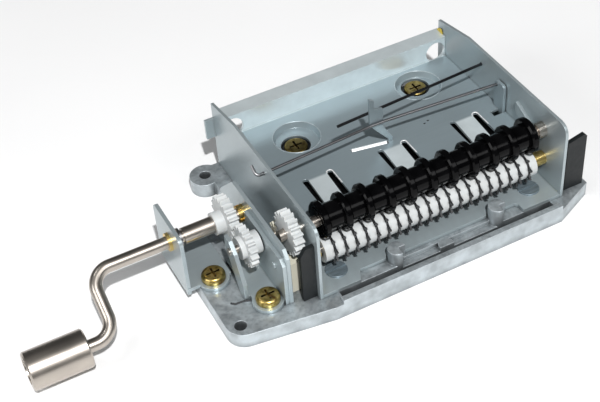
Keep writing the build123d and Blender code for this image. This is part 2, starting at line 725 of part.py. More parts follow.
def floor_screw(place):
    body = screw(place[0], place[1], FLOOR_Z, BASE_T - SCREW_DEPTH, FLOOR_HEAD_R, FLOOR_HEAD_H)
    slot = Box(2 * FLOOR_HEAD_R, FLOOR_SLOT_W, 2 * FLOOR_SLOT_DEPTH)
    return body - Pos(place[0], place[1], FLOOR_Z + FLOOR_HEAD_H) * slot


def crank_bracket():
    top = BASE_T + BRACKET_T
    x1 = CRANK_FLANGE_X + BRACKET_T
    y0 = CRANK_Y - CRANK_FLANGE_FRONT
    y1 = CRANK_Y + CRANK_FLANGE_BACK
    body = box(CRANK_FLANGE_X, CRANK_FOOT_X1, CRANK_SCREW[1] - CRANK_FOOT_LIP, y1, BASE_T, top)
    body += rod_z(CRANK_SCREW[0], CRANK_SCREW[1], BASE_T, top, TAB_R)
    flange = box(CRANK_FLANGE_X, x1, y0, y1, BASE_T - CRANK_FLANGE_DROP, CRANK_Z + CRANK_FLANGE_OVER)
    body += fillet(flange.edges().filter_by(Axis.X).group_by(Axis.Z)[-1], CRANK_FLANGE_R)
    body -= rod_x(CRANK_FLANGE_X, x1, CRANK_Y, CRANK_Z, CRANK_BUSH_R)
    body -= rod_z(CRANK_SCREW[0], CRANK_SCREW[1], BASE_T, top, SCREW_R + SCREW_HOLE_CLEAR)
    return body


def idler_arm():
    front = IDLER_Y - ARM_FRONT
    back = IDLER_Y + ARM_BACK
    over = IDLER_Z + ARM_OVER
    side = [
        (front, BASE_T),
        (front, IDLER_Z - ARM_FRONT),
        (IDLER_Y - ARM_BACK, IDLER_Z + AXLE_R),
        (IDLER_Y, over),
        (back, over),
        (back, IDLER_Z),
        (front + ARM_FOOT_W, BASE_T),
    ]
    arm = slab_x(ARM_X, ARM_X + BRACKET_T, side)
    foot = box(ARM_X, GEAR_FOOT_X0, front, front + ARM_FOOT_W, BASE_T, BASE_T + BRACKET_T)
    return arm + foot


def gear_bracket():
    top = BASE_T + BRACKET_T
    x1 = GEAR_FLANGE_X + BRACKET_T
    body = box(GEAR_FOOT_X0, x1, GEAR_FOOT_Y0, GEAR_FOOT_Y1, BASE_T, top)
    body += rod_z(GEAR_SCREW[0], GEAR_SCREW[1], BASE_T, top, TAB_R)
    body += idler_arm()
    tall = [
        (GEAR_FLANGE_Y0, BASE_T),
        (GEAR_FLANGE_Y0, GEAR_FLANGE_Z1 - GEAR_FLANGE_CUT),
        (GEAR_FLANGE_Y0 + GEAR_FLANGE_CUT, GEAR_FLANGE_Z1),
        (GEAR_FLANGE_Y1, GEAR_FLANGE_Z1),
        (GEAR_FLANGE_Y1, BASE_T),
    ]
    body += slab_x(GEAR_FLANGE_X, x1, tall)
    pip_y = IDLER_Y - GEAR_PIP_FRONT
    body += rod_x(GEAR_FLANGE_X - GEAR_PIP_H, GEAR_FLANGE_X, pip_y, IDLER_Z - GEAR_PIP_DROP, GEAR_PIP_R)
    body -= rod_x(ARM_X, x1, IDLER_Y, IDLER_Z, IDLER_AXLE_R + RUN_CLEAR)
    body -= rod_z(GEAR_SCREW[0], GEAR_SCREW[1], BASE_T, top, SCREW_R + SCREW_HOLE_CLEAR)
    return body


def bearing_plate():
    x1 = BEARING_PLATE_X + BRACKET_T
    side = [
        (BEARING_PLATE_Y0, BASE_T),
        (BEARING_PLATE_Y0, BEARING_PLATE_Z1 - BEARING_PLATE_NOSE),
        (BEARING_PLATE_Y0 + BEARING_PLATE_NOSE, BEARING_PLATE_Z1),
        (BEARING_PLATE_Y1 - BEARING_PLATE_CUT, BEARING_PLATE_Z1),
        (BEARING_PLATE_Y1, BEARING_PLATE_Z1 - BEARING_PLATE_CUT),
        (BEARING_PLATE_Y1, BASE_T),
    ]
    body = slab_x(BEARING_PLATE_X, x1, side)
    body -= rod_x(BEARING_PLATE_X, x1, IDLER_Y, IDLER_Z, IDLER_AXLE_R + RUN_CLEAR)
    body -= rod_x(BEARING_PLATE_X, x1, CRANK_Y, CRANK_Z, INNER_BUSH_R)
    return body


def crank_bush():
    inside = CRANK_FLANGE_X + BRACKET_T
    x0 = CRANK_FLANGE_X - CRANK_BUSH_OUT
    x1 = inside + CRANK_BUSH_IN
    body = rod_x(x0, x1, CRANK_Y, CRANK_Z, CRANK_BUSH_R)
    body += rod_x(inside, inside + CRANK_BUSH_RIM_T, CRANK_Y, CRANK_Z, CRANK_BUSH_R + CRANK_BUSH_RIM)
    return body - rod_x(x0, x1, CRANK_Y, CRANK_Z, ROD_R + RUN_CLEAR)


def inner_bush():
    x1 = BEARING_PLATE_X + BRACKET_T
    x0 = BEARING_PLATE_X - INNER_BUSH_L
    rim = INNER_BUSH_R + INNER_BUSH_RIM
    body = rod_x(x0, BEARING_PLATE_X, CRANK_Y, CRANK_Z, rim)
    for k in range(3):
        notch = box(x0, x0 + BUSH_NOTCH, -rim, rim, -BUSH_NOTCH_W / 2, BUSH_NOTCH_W / 2)
        body -= Pos(0, CRANK_Y, CRANK_Z) * Rot(60 * k, 0, 0) * notch
    body += rod_x(x0, x1, CRANK_Y, CRANK_Z, INNER_BUSH_R)
    return body - rod_x(x0, x1, CRANK_Y, CRANK_Z, CRANK_SHAFT_R + RUN_CLEAR)


def wall_bush(x0, x1, y, z, outer, bore):
    return rod_x(x0, x1, y, z, outer) - rod_x(x0, x1, y, z, bore)


def drum_spacer(x):
    return wall_bush(x - SPACER_L / 2, x + SPACER_L / 2, 0, AXLE_Z, SPACER_R, AXLE_R)


def star_wheel(x):
    points = []
    tooth = ((0.0, STAR_ROOT_R), (0.52, STAR_TIP_R), (0.66, STAR_TIP_R - 0.1), (0.74, STAR_ROOT_R))
    for k in range(STAR_TEETH):
        for share, r in tooth:
            turn = 2 * math.pi * (k + share) / STAR_TEETH
            points.append((r * math.cos(turn), AXLE_Z + r * math.sin(turn)))
    body = slab_x(x - STAR_T / 2, x + STAR_T / 2, points)
    return body - rod_x(x - STAR_T / 2, x + STAR_T / 2, 0, AXLE_Z, AXLE_R + STAR_BORE_CLEAR)


def rubber_roller():
    end = DRUM_HALF + ROLLER_END
    half = ROLLER_RING_W / 2
    side = ROLLER_RING_R - ROLLER_RING_EDGE
    profile = [(-end, ROLLER_SHAFT_R), (-end, ROLLER_CORE_R)]
    for x in SPACER_X[::2]:
        left = x - half
        right = x + half
        profile += [(left, ROLLER_CORE_R), (left, side), (left + ROLLER_RING_EDGE, ROLLER_RING_R)]
        profile += [(right - ROLLER_RING_EDGE, ROLLER_RING_R), (right, side), (right, ROLLER_CORE_R)]
    profile += [(end, ROLLER_CORE_R), (end, ROLLER_SHAFT_R)]
    body = revolve(make_face(Polyline(*profile, close=True)), axis=Axis.X)
    return Pos(0, ROLLER_Y, ROLLER_Z) * body


def roller_shaft():
    x0 = ROLLER_GEAR_X - ROLLER_SHAFT_LEAD
    return rod_x(x0, WALL_X + ROLLER_SHAFT_OUT, ROLLER_Y, ROLLER_Z, ROLLER_SHAFT_R)


def roller_gear():
    turn = TURN_PINION + math.pi + math.pi / ROLLER_TEETH
    body = gear(ROLLER_TEETH, ROLLER_GEAR_X, GEAR_W, ROLLER_Y, ROLLER_Z, turn)
    return body - rod_x(ROLLER_GEAR_X, ROLLER_GEAR_X + GEAR_W, ROLLER_Y, ROLLER_Z, ROLLER_SHAFT_R)


def idler_gear():
    turn = TURN_CRANK + math.pi + math.pi / IDLER_TEETH
    width = GEAR_W - 2 * GEAR_SETBACK
    body = gear(IDLER_TEETH, CRANK_GEAR_X + GEAR_SETBACK, width, IDLER_Y, IDLER_Z, turn)
    x0 = CRANK_GEAR_X - IDLER_HUB_OUT
    x1 = GEAR_FLANGE_X - GEAR_SETBACK
    body += rod_x(x0, x1, IDLER_Y, IDLER_Z, HUB_R)
    return body - rod_x(x0, x1, IDLER_Y, IDLER_Z, IDLER_AXLE_R)


def idler_pinion():
    x0 = ROLLER_GEAR_X + PINION_SETBACK
    x1 = ROLLER_GEAR_X + GEAR_W - PINION_SETBACK
    body = gear(PINION_TEETH, x0, x1 - x0, IDLER_Y, IDLER_Z, TURN_PINION)
    return body - rod_x(x0, x1, IDLER_Y, IDLER_Z, IDLER_AXLE_R)


def idler_axle():
    x1 = ROLLER_GEAR_X + GEAR_W - PINION_SETBACK
    return rod_x(ARM_X - AXLE_OUT, x1, IDLER_Y, IDLER_Z, IDLER_AXLE_R)


def crank_gear():
    body = gear(CRANK_TEETH, CRANK_GEAR_X, GEAR_W, CRANK_Y, CRANK_Z, TURN_CRANK)
    body += rod_x(SLEEVE_X1, CRANK_GEAR_X, CRANK_Y, CRANK_Z, HUB_R)
    return body - rod_x(SLEEVE_X1, CRANK_GEAR_X + GEAR_W, CRANK_Y, CRANK_Z, CRANK_SHAFT_R)


def crank_sleeve():
    body = rod_x(SLEEVE_X0, SLEEVE_X1, CRANK_Y, CRANK_Z, CRANK_SHAFT_R + SLEEVE_WALL)
    return body - rod_x(SLEEVE_X0, SLEEVE_X1, CRANK_Y, CRANK_Z, CRANK_SHAFT_R)


def crank_clip():
    x0 = CRANK_FLANGE_X + BRACKET_T + CLIP_GAP
    body = rod_x(x0, x0 + CLIP_T, CRANK_Y, CRANK_Z, ROD_R + CLIP_WALL)
    return body - rod_x(x0, x0 + CLIP_T, CRANK_Y, CRANK_Z, ROD_R)


def crank_handle():
    start = (SLEEVE_X0, CRANK_Y, CRANK_Z)
    corner = (CRANK_BEND_X, CRANK_Y, CRANK_Z)
    elbow = (CRANK_BEND_X, KNOB_Y, KNOB_Z)
    path = FilletPolyline(start, corner, elbow, (KNOB_X1, KNOB_Y, KNOB_Z), radius=BEND_R)
    body = sweep(Plane(path @ 0, z_dir=path % 0) * Circle(ROD_R), path=path)
    body += rod_x(SLEEVE_X0, BEARING_PLATE_X + BRACKET_T, CRANK_Y, CRANK_Z, CRANK_SHAFT_R)
    end = KNOB_X1 - KNOB_L + KNOB_RECESS - RUN_CLEAR
    body += rod_x(end - RIVET_T, KNOB_X1, KNOB_Y, KNOB_Z, KNOB_PIN_R)
    body += rod_x(end - RIVET_T, end, KNOB_Y, KNOB_Z, RIVET_R)
    return body


def crank_knob():
    x0 = KNOB_X1 - KNOB_L
    x1 = KNOB_X1 - RUN_CLEAR
    body = rod_x(x0, x1, KNOB_Y, KNOB_Z, KNOB_R)
    body = chamfer(body.edges().filter_by(GeomType.CIRCLE), KNOB_EDGE)
    body -= rod_x(x0, x0 + KNOB_RECESS, KNOB_Y, KNOB_Z, KNOB_RECESS_R)
    return body - rod_x(x0, x1, KNOB_Y, KNOB_Z, KNOB_PIN_R + RUN_CLEAR)


def stop_left():
    out = -WALL_X - STOP_W
    face = [
        (-WALL_X, BASE_T),
        (-WALL_X, STOP_Z1),
        (out + STOP_CUT, STOP_Z1),
        (out, STOP_Z1 - STOP_CUT_H),
        (out, BASE_T),
    ]
    return slab_y(STOP_Y, STOP_Y + STOP_T, face)


def stop_right():
    x0 = WALL_X + STOP_RIGHT_GAP
    x1 = x0 + STOP_RIGHT_W
    face = [
        (x0, BASE_T),
        (x0, STOP_Z1 - STOP_RIGHT_SLOPE),
        (x1 - STOP_RIGHT_CUT, STOP_Z1),
        (x1, STOP_Z1 - STOP_RIGHT_CUT),
        (x1, BASE_T),
    ]
    body = slab_y(STOP_Y, STOP_Y + STOP_T, face)
    web = STOP_Y + STOP_T - STOP_WEB_T
    return body + box(WALL_X, x0, web, STOP_Y + STOP_T, BASE_T, STOP_Z1 - STOP_WEB_DROP)


def gear_block():
    x0 = BEARING_PLATE_X + BRACKET_T + BLOCK_PLATE_GAP
    y0 = STOP_Y + STOP_T + BLOCK_BEHIND
    top = ROLLER_Z - ROLLER_GEAR_TIP - BLOCK_TOP_GAP
    return box(x0, x0 + BLOCK_W, y0, y0 + BLOCK_L, BASE_T, top)


def build():
    nodes = {
        "base_plate": base_plate(),
        "chassis": chassis(),
        "paper_table": paper_table(),
        "comb": comb(),
        "comb_screw_left": comb_screw(COMB_SCREW[0]),
        "comb_screw_right": comb_screw(COMB_SCREW[1]),
        "floor_screw_left": floor_screw(FLOOR_SCREW[0]),
        "floor_screw_right": floor_screw(FLOOR_SCREW[1]),
        "wire_long": wire_long(),
        "wire_short": wire_short(),
        "crank_bracket": crank_bracket(),
        "crank_bracket_screw": bracket_screw(CRANK_SCREW),
        "gear_bracket": gear_bracket(),
        "gear_bracket_screw": bracket_screw(GEAR_SCREW),
        "bearing_plate": bearing_plate(),
        "gear_block": gear_block(),
        "crank_bush": crank_bush(),
        "inner_bush": inner_bush(),
        "stop_left": stop_left(),
        "stop_right": stop_right(),
        "drum_axle": rod_x(-WALL_X - AXLE_OUT, WALL_X + AXLE_OUT, 0, AXLE_Z, AXLE_R),
        "drum_spacers": Compound(children=[drum_spacer(x) for x in SPACER_X]),
        "roller_shaft": roller_shaft(),
        "rubber_roller": rubber_roller(),
        "roller_gear": roller_gear(),
        "idler_gear": idler_gear(),
        "idler_pinion": idler_pinion(),
        "idler_axle": idler_axle(),
        "crank_handle": crank_handle(),
        "crank_sleeve": crank_sleeve(),
        "crank_clip": crank_clip(),
        "crank_gear": crank_gear(),
        "crank_knob": crank_knob(),
    }
    for name, side, inside in zip(("left", "right"), (-1, 1), ROLLER_BUSH_IN):
        x0, x1 = sorted((side * (WALL_X + DRUM_BUSH_OUT), side * (INNER_HALF - DRUM_BUSH_IN)))
        nodes["drum_bush_" + name] = wall_bush(x0, x1, 0, AXLE_Z, DRUM_BUSH_R, AXLE_R)
        bore = ROLLER_SHAFT_R + RUN_CLEAR
        x0, x1 = sorted((side * (WALL_X + ROLLER_BUSH_OUT), side * (INNER_HALF - inside)))
        nodes["roller_bush_" + name] = wall_bush(x0, x1, ROLLER_Y, ROLLER_Z, ROLLER_BUSH_R, bore)
    for i, x in enumerate(STAR_X):
        nodes["star_wheel_%02d" % (i + 1)] = star_wheel(x)
    return nodes


for node, shape in build().items():
    export_step(shape, os.path.join("parts", node + ".step"))
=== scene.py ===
import json
import math

import bpy
from mathutils import Matrix, Vector


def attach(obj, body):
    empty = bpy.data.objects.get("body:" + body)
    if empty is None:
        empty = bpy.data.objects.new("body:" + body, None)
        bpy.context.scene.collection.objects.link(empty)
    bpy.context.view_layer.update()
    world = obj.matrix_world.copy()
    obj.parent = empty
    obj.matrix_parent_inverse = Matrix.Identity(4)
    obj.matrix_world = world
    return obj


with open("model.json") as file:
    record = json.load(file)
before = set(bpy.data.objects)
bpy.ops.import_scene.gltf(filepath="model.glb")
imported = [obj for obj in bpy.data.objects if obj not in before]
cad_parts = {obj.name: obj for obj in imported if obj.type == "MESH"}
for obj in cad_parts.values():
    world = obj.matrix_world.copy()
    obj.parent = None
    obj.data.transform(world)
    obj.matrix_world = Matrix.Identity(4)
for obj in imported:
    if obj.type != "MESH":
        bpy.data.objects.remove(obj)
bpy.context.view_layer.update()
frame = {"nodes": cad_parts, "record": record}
NODES = frame["nodes"]
SLOT_OF = {s["node"]: s["material_slot"] for s in frame["record"]["subparts"]}
MM = 0.001

# Settings that the shader helpers share. Most values of a noise texture lie between its low and high.
NOISE_LOW = 0.3
NOISE_HIGH = 0.7
EDGE_LOW = 0.7
EDGE_HIGH = 0.99
BEVEL_SAMPLES = 6
OCCLUSION_SAMPLES = 8
NEW_STOP = 0.5
WHITE = (1, 1, 1)

# Sockets of the Mix node when it mixes colours.
MIX_SHARE = 0
MIX_A = 6
MIX_B = 7
MIX_RESULT = 2


def shade(color, factor):
    return tuple(min(1.0, c * factor) for c in color)


class Shader:
    """A material with a Principled BSDF and short helpers for its nodes.

    Every texture uses object coordinates, so it stays on its piece in every pose.
    """

    def __init__(self, name, **sockets):
        self.material = bpy.data.materials.new(name)
        self.material.use_nodes = True
        self.tree = self.material.node_tree
        self.bsdf = self.tree.nodes["Principled BSDF"]
        for key, value in sockets.items():
            self.bsdf.inputs[key.replace("_", " ")].default_value = value
        coordinates = self.add("ShaderNodeTexCoord")
        self.place = coordinates.outputs["Object"]
        self.facing = coordinates.outputs["Normal"]

    def add(self, kind, **settings):
        node = self.tree.nodes.new(kind)
        for key, value in settings.items():
            setattr(node, key, value)
        return node

    def link(self, source, target):
        self.tree.links.new(source, target)

    def stretched(self, scale):
        node = self.add("ShaderNodeMapping")
        node.inputs["Scale"].default_value = scale
        self.link(self.place, node.inputs["Vector"])
        return node.outputs["Vector"]

    def noise(self, scale, detail=3.0, vector=None, distortion=0.0):
        node = self.add("ShaderNodeTexNoise")
        node.inputs["Scale"].default_value = scale
        node.inputs["Detail"].default_value = detail
        node.inputs["Distortion"].default_value = distortion
        self.link(vector or self.place, node.inputs["Vector"])
        return node.outputs["Fac"]

    def ramp(self, source, stops):
        node = self.add("ShaderNodeValToRGB")
        while len(node.color_ramp.elements) < len(stops):
            node.color_ramp.elements.new(NEW_STOP)
        for element, (at, color) in zip(node.color_ramp.elements, stops):
            element.position = at
            element.color = (*color, 1.0)
        self.link(source, node.inputs["Fac"])
        return node.outputs["Color"]

    def tinted(self, source, color, dark, light, low=NOISE_LOW, high=NOISE_HIGH):
        """The colour times dark where source is low, and times light where it is high."""
        return self.ramp(source, ((low, shade(color, dark)), (high, shade(color, light))))

    def spread(self, source, low, high, start=NOISE_LOW, stop=NOISE_HIGH):
        """Values of source from start to stop become values from low to high."""
        node = self.add("ShaderNodeMapRange")
        for key, value in zip(("From Min", "From Max", "To Min", "To Max"), (start, stop, low, high)):
            node.inputs[key].default_value = value
        self.link(source, node.inputs["Value"])
        return node.outputs["Result"]

    def past(self, source, at, fade):
        """0 before the place at and 1 after it, with a soft step of fade to each side, in millimetres."""
        return self.spread(source, 0.0, 1.0, (at - fade) * MM, (at + fade) * MM)

    def before(self, source, at, fade):
        """1 before the place at and 0 after it, with a soft step of fade to each side, in millimetres."""
        return self.spread(source, 1.0, 0.0, (at - fade) * MM, (at + fade) * MM)

    def mixed(self, share, a, b, blend="MIX"):
        node = self.add("ShaderNodeMix", data_type="RGBA", blend_type=blend)
        for value, key in ((share, MIX_SHARE), (a, MIX_A), (b, MIX_B)):
            if isinstance(value, (int, float)):
                node.inputs[key].default_value = value
            elif isinstance(value, tuple):
                node.inputs[key].default_value = (*value, 1.0)
            else:
                self.link(value, node.inputs[key])
        return node.outputs[MIX_RESULT]

    def math(self, operation, a, b=0.0):
        node = self.add("ShaderNodeMath", operation=operation)
        for value, socket in zip((a, b), node.inputs):
            if isinstance(value, (int, float)):
                socket.default_value = value
            else:
                self.link(value, socket)
        return node.outputs["Value"]

    def split(self, source):
        node = self.add("ShaderNodeSeparateXYZ")
        self.link(source, node.inputs["Vector"])
        return node.outputs["X"], node.outputs["Y"], node.outputs["Z"]

    def rounded(self, radius):
        """Normals as if the edges of the piece had this radius."""
        node = self.add("ShaderNodeBevel", samples=BEVEL_SAMPLES)
        node.inputs["Radius"].default_value = radius
        return node.outputs["Normal"]

    def edges(self, radius, low=EDGE_LOW, high=EDGE_HIGH):
        """1 along the edges of the piece, 0 on its faces."""
        here = self.add("ShaderNodeNewGeometry")
        alike = self.add("ShaderNodeVectorMath", operation="DOT_PRODUCT")
        self.link(self.rounded(radius), alike.inputs[0])
        self.link(here.outputs["Normal"], alike.inputs[1])
        return self.spread(alike.outputs["Value"], 1.0, 0.0, low, high)

    def painted_corner_shade(self, source, reach, darkest, closed=0.25, free=0.75):
        """The colour of source, with painted shade that makes it darker in corners and holes."""
        near = self.add("ShaderNodeAmbientOcclusion", samples=OCCLUSION_SAMPLES)
        near.inputs["Distance"].default_value = reach
        open_share = self.spread(near.outputs["AO"], darkest, 1.0, closed, free)
        return self.mixed(1.0, source, open_share, "MULTIPLY")

    def color(self, source):
        self.link(source, self.bsdf.inputs["Base Color"])

    def rough(self, source):
        self.link(source, self.bsdf.inputs["Roughness"])

    def bump(self, *layers, soften=0.0):
        """layers: height source, depth in metres, strength. soften: radius of the edges, in metres."""
        normal = self.rounded(soften) if soften else None
        for source, depth, strength in layers:
            node = self.add("ShaderNodeBump")
            node.inputs["Strength"].default_value = strength
            node.inputs["Distance"].default_value = depth
            self.link(source, node.inputs["Height"])
            if normal is not None:
                self.link(normal, node.inputs["Normal"])
            normal = node.outputs["Normal"]
        self.link(normal, self.bsdf.inputs["Normal"])


# Places on the paper table, in millimetres of the shared frame. The upstand and the tongues carry a
# painted reflection.
TABLE_Z = 15.3
UPSTAND_Y = 47.2
UPSTAND_FADE = 0.2
TONGUE_X = (-20.6, 1.7, 24.0)
TONGUE_HALF = 2.7
TONGUE_FADE = 0.1
TONGUE_ROOT_Y = 20.5
ROOT_FADE = 0.4

# Colours of the looks.
# EDGE_HIGHLIGHT_ZINC and GOLD_EDGE_HIGHLIGHT are painted highlights on edges, and PAINTED_REFLECTION_ZINC
# is a painted reflection.
EDGE_HIGHLIGHT_ZINC = (0.56, 0.64, 0.66)
PAINTED_REFLECTION_ZINC = (0.76, 0.84, 0.86)
ROLLED_GREY = (0.72, 0.72, 0.72)
CAST_GRAIN = (0.55, 0.57, 0.59)
GOLD_EDGE_HIGHLIGHT = (0.75, 0.62, 0.35)
RUBBER_DARK = (0.0008, 0.0008, 0.001)
RUBBER_BLOOM = (0.003, 0.003, 0.0033)
PASSIVATED_TINTS = (
    (0.3, (0.2, 0.11, 0.04)),
    (0.45, (0.4, 0.3, 0.09)),
    (0.6, (0.66, 0.5, 0.19)),
    (0.72, (0.3, 0.28, 0.1)),
)

# How much the noise of the surface lines is squeezed along X, Y and Z.
ROLLED = (25, 2200, 2200)
DRAWN = (200, 4000, 4000)
STREAKED = (300, 1800, 1800)
EVEN = (300, 300, 300)

# How far light goes into white plastic, for red, green and blue.
GLOW_REACH = (0.8 * MM, 0.7 * MM, 0.6 * MM)


def upstand_and_tongue_reflection(s):
    """Mask of the painted reflection on the table: the upstand at the back and the three tongues in
    front, painted bright as if they caught the light.
    """
    x, y = s.split(s.place)[:2]
    half_pitch = (TONGUE_X[1] - TONGUE_X[0]) / 2
    aside = s.math("PINGPONG", s.math("SUBTRACT", x, TONGUE_X[0] * MM), half_pitch * MM)
    within = s.before(aside, TONGUE_HALF, TONGUE_FADE)
    tongues = s.math("MULTIPLY", within, s.before(y, TONGUE_ROOT_Y, ROOT_FADE))
    return s.math("MAXIMUM", s.past(y, UPSTAND_Y, UPSTAND_FADE), tongues)


def sheet_metal(name, color, lit=None):
    """Zinc plated sheet: faint clouds, rolling lines, sheared edges painted lighter as a highlight,
    painted shade in corners, and a painted reflection where lit is 1.
    """
    s = Shader(name, Metallic=0.5, Specular_IOR_Level=0.3)
    cloud = s.tinted(s.noise(60), color, 0.97, 1.03)
    lines = s.noise(1.0, vector=s.stretched(ROLLED))
    streaks = s.ramp(lines, ((0.35, ROLLED_GREY), (0.65, WHITE)))
    flat = s.mixed(0.08, cloud, streaks, "MULTIPLY")
    # Painted reflection: a lighter zinc where the mask is 1, on the upstand and the tongues.
    if lit:
        flat = s.mixed(lit(s), flat, s.tinted(s.noise(260), PAINTED_REFLECTION_ZINC, 0.94, 1.04))
    # Painted highlight: the edges get a lighter zinc. Painted shade then darkens the corners.
    edge_highlighted_sheet = s.mixed(s.edges(0.16 * MM, low=0.8), flat, EDGE_HIGHLIGHT_ZINC)
    s.color(s.painted_corner_shade(edge_highlighted_sheet, reach=1.2 * MM, darkest=0.45))
    s.rough(s.spread(s.noise(700, detail=2), 0.285, 0.315))
    grain = s.noise(2200, detail=2)
    s.bump((lines, 0.003 * MM, 0.05), (grain, 0.004 * MM, 0.05), soften=0.15 * MM)
    return s.material


def cast_metal(name, color):
    """Die-cast metal: flow marks and dark grain on level faces, mottled sides painted lighter than level
    faces as painted light, edges painted lighter as a highlight, and painted shade in corners and holes.
    """
    s = Shader(name, Metallic=0.6, Specular_IOR_Level=0.3)
    flow = s.noise(110, detail=7, distortion=2.0)
    clouds = s.ramp(flow, ((0.3, shade(color, 0.72)), (0.5, color), (0.7, shade(color, 1.3))))
    specks = s.ramp(s.noise(900, detail=4), ((0.35, CAST_GRAIN), (0.55, WHITE)))
    level = s.mixed(0.5, clouds, specks, "MULTIPLY")
    # Painted light: upright faces get a lighter colour than level faces, as the lamps light the sides
    # more.
    painted_lit_sides = s.tinted(s.noise(240, detail=6), color, 0.85, 1.3, low=0.35, high=0.65)
    upright = s.spread(s.math("ABSOLUTE", s.split(s.facing)[2]), 1.0, 0.0)
    # Painted highlight: the edges are lighter. Painted shade darkens the corners and holes.
    edge_highlighted_cast = s.mixed(s.edges(0.4 * MM), s.mixed(upright, level, painted_lit_sides), shade(color, 1.6))
    s.color(s.painted_corner_shade(edge_highlighted_cast, reach=4.0 * MM, darkest=0.22))
    s.rough(s.spread(s.noise(240, detail=5), 0.3, 0.5))
    waves = s.noise(240, detail=4)
    grain = s.noise(1700, detail=2)
    s.bump((waves, 0.03 * MM, 0.14), (grain, 0.012 * MM, 0.12), soften=0.3 * MM)
    return s.material


def plated(name, color, lines=DRAWN):
    """Bright plating: thin drawing lines and cloudy haze in the gloss."""
    s = Shader(name, Metallic=1.0)
    haze = s.noise(180, detail=4)
    fine = s.noise(1.0, detail=2, vector=s.stretched(lines))
    s.color(s.tinted(haze, color, 0.92, 1.05))
    s.rough(s.spread(s.mixed(0.4, haze, fine), 0.29, 0.36))
    s.bump((fine, 0.004 * MM, 0.25), (s.noise(600, detail=2), 0.01 * MM, 0.1))
    return s.material


def passivated(name, depth=1.0):
    """Yellow passivated screw: gold with olive and red-brown clouds, edges painted a lighter gold as a
    highlight, and painted shade in the recess; a depth below 1 darkens it all as painted shade.
    """
    s = Shader(name, Metallic=1.0)
    clouds = s.noise(520, detail=4, distortion=0.8)
    tint = s.ramp(clouds, [(at, shade(color, depth)) for at, color in PASSIVATED_TINTS])
    # Painted highlight: the edges are a lighter gold. Painted shade darkens the cross recess.
    edge_highlighted_screw = s.mixed(s.edges(0.2 * MM), tint, shade(GOLD_EDGE_HIGHLIGHT, depth))
    s.color(s.painted_corner_shade(edge_highlighted_screw, reach=0.9 * MM, darkest=0.12))
    s.rough(s.spread(s.noise(800), 0.285, 0.38))
    s.bump((s.noise(900), 0.03 * MM, 0.5))
    return s.material


def moulded(name, color, rough, gloss=0.5, glow=0.0, corner_shade_reach=0.0):
    """Moulded plastic: slight cloudiness, fine grain, and edges painted lighter as a highlight.

    glow is the share of light that goes into it, and grime the reach of the painted shade in its corners,
    in metres.
    """
    s = Shader(name, Metallic=0.0, Specular_IOR_Level=gloss)
    if glow:
        s.bsdf.inputs["Subsurface Weight"].default_value = glow
        s.bsdf.inputs["Subsurface Radius"].default_value = GLOW_REACH
        s.bsdf.inputs["Subsurface Scale"].default_value = 1.0
    cloud = s.noise(160)
    # Painted highlight: the edges are lighter.
    edge_highlighted_plastic = s.mixed(s.edges(0.15 * MM), s.tinted(cloud, color, 0.94, 1.04), shade(color, 1.15))
    # Painted shade: where grime is set, the colour darkens in corners.
    s.color(s.painted_corner_shade(edge_highlighted_plastic, corner_shade_reach, darkest=0.12, closed=0.45, free=0.95) if corner_shade_reach else edge_highlighted_plastic)
    s.rough(s.spread(s.noise(700), *rough))
    s.bump((s.noise(2200, detail=2), 0.01 * MM, 0.25), (cloud, 0.03 * MM, 0.1))
    return s.material


def rubber(name):
    """Black rubber: faint bloom, fine grain, soft shine."""
    s = Shader(name, Metallic=0.0, Specular_IOR_Level=0.12)
    s.color(s.ramp(s.noise(260, detail=4), ((0.35, RUBBER_DARK), (0.75, RUBBER_BLOOM))))
    s.rough(s.spread(s.noise(900), 0.11, 0.18))
    s.bump((s.noise(1800), 0.012 * MM, 0.3))
    return s.material


def blanked(name, color, rough, metal=1.0):
    """Blanked steel: streaky, with sheared edges painted lighter as a highlight."""
    s = Shader(name, Metallic=metal)
    streak = s.noise(1.0, vector=s.stretched(STREAKED))
    # Painted highlight: the edges are lighter.
    s.color(s.mixed(s.edges(0.12 * MM), s.tinted(streak, color, 0.75, 1.2), shade(color, 1.8)))
    s.rough(s.spread(s.noise(900), *rough))
    s.bump((streak, 0.004 * MM, 0.12))
    return s.material


# One look for each material slot of the record, and looks of their own for a few nodes.
LOOKS = {
    "cast_base": cast_metal("cast_base_look", (0.42, 0.46, 0.48)),
    # The zinc of the other sheets is a lighter copy of the paper table's zinc, as painted light, because
    # less lamp light reaches them.
    "zinc_sheet": sheet_metal("zinc_sheet_look", (0.4, 0.46, 0.48)),
    "comb_steel": blanked("comb_look", (0.06, 0.062, 0.065), rough=(0.3, 0.45)),
    "wire_steel": plated("wire_look", (0.3, 0.3, 0.31), lines=EVEN),
    "nickel": plated("nickel_look", (0.5, 0.455, 0.405)),
    "brass": plated("brass_look", (0.72, 0.53, 0.2)),
    "yellow_screw": passivated("yellow_screw_look"),
    "slot_screw": blanked("slot_screw_look", (0.2, 0.25, 0.28), rough=(0.36, 0.48), metal=0.6),
    "nylon": moulded("nylon_look", (0.56, 0.58, 0.58), rough=(0.3, 0.45), glow=0.15),
    "cream_plastic": moulded("cream_look", (0.7, 0.67, 0.55), rough=(0.35, 0.5)),
    "rubber": rubber("rubber_look"),
    "dark_plastic": moulded("dark_look", (0.01, 0.012, 0.013), rough=(0.38, 0.52), gloss=0.3),
    "star_steel": blanked("star_look", (0.07, 0.072, 0.075), rough=(0.35, 0.5), metal=0.7),
}
# The comb screws sit deep in dimples, so their colour is darkened as painted shade.
SHADED_SUNK_SCREW = passivated("shaded_sunk_screw_look", depth=0.55)
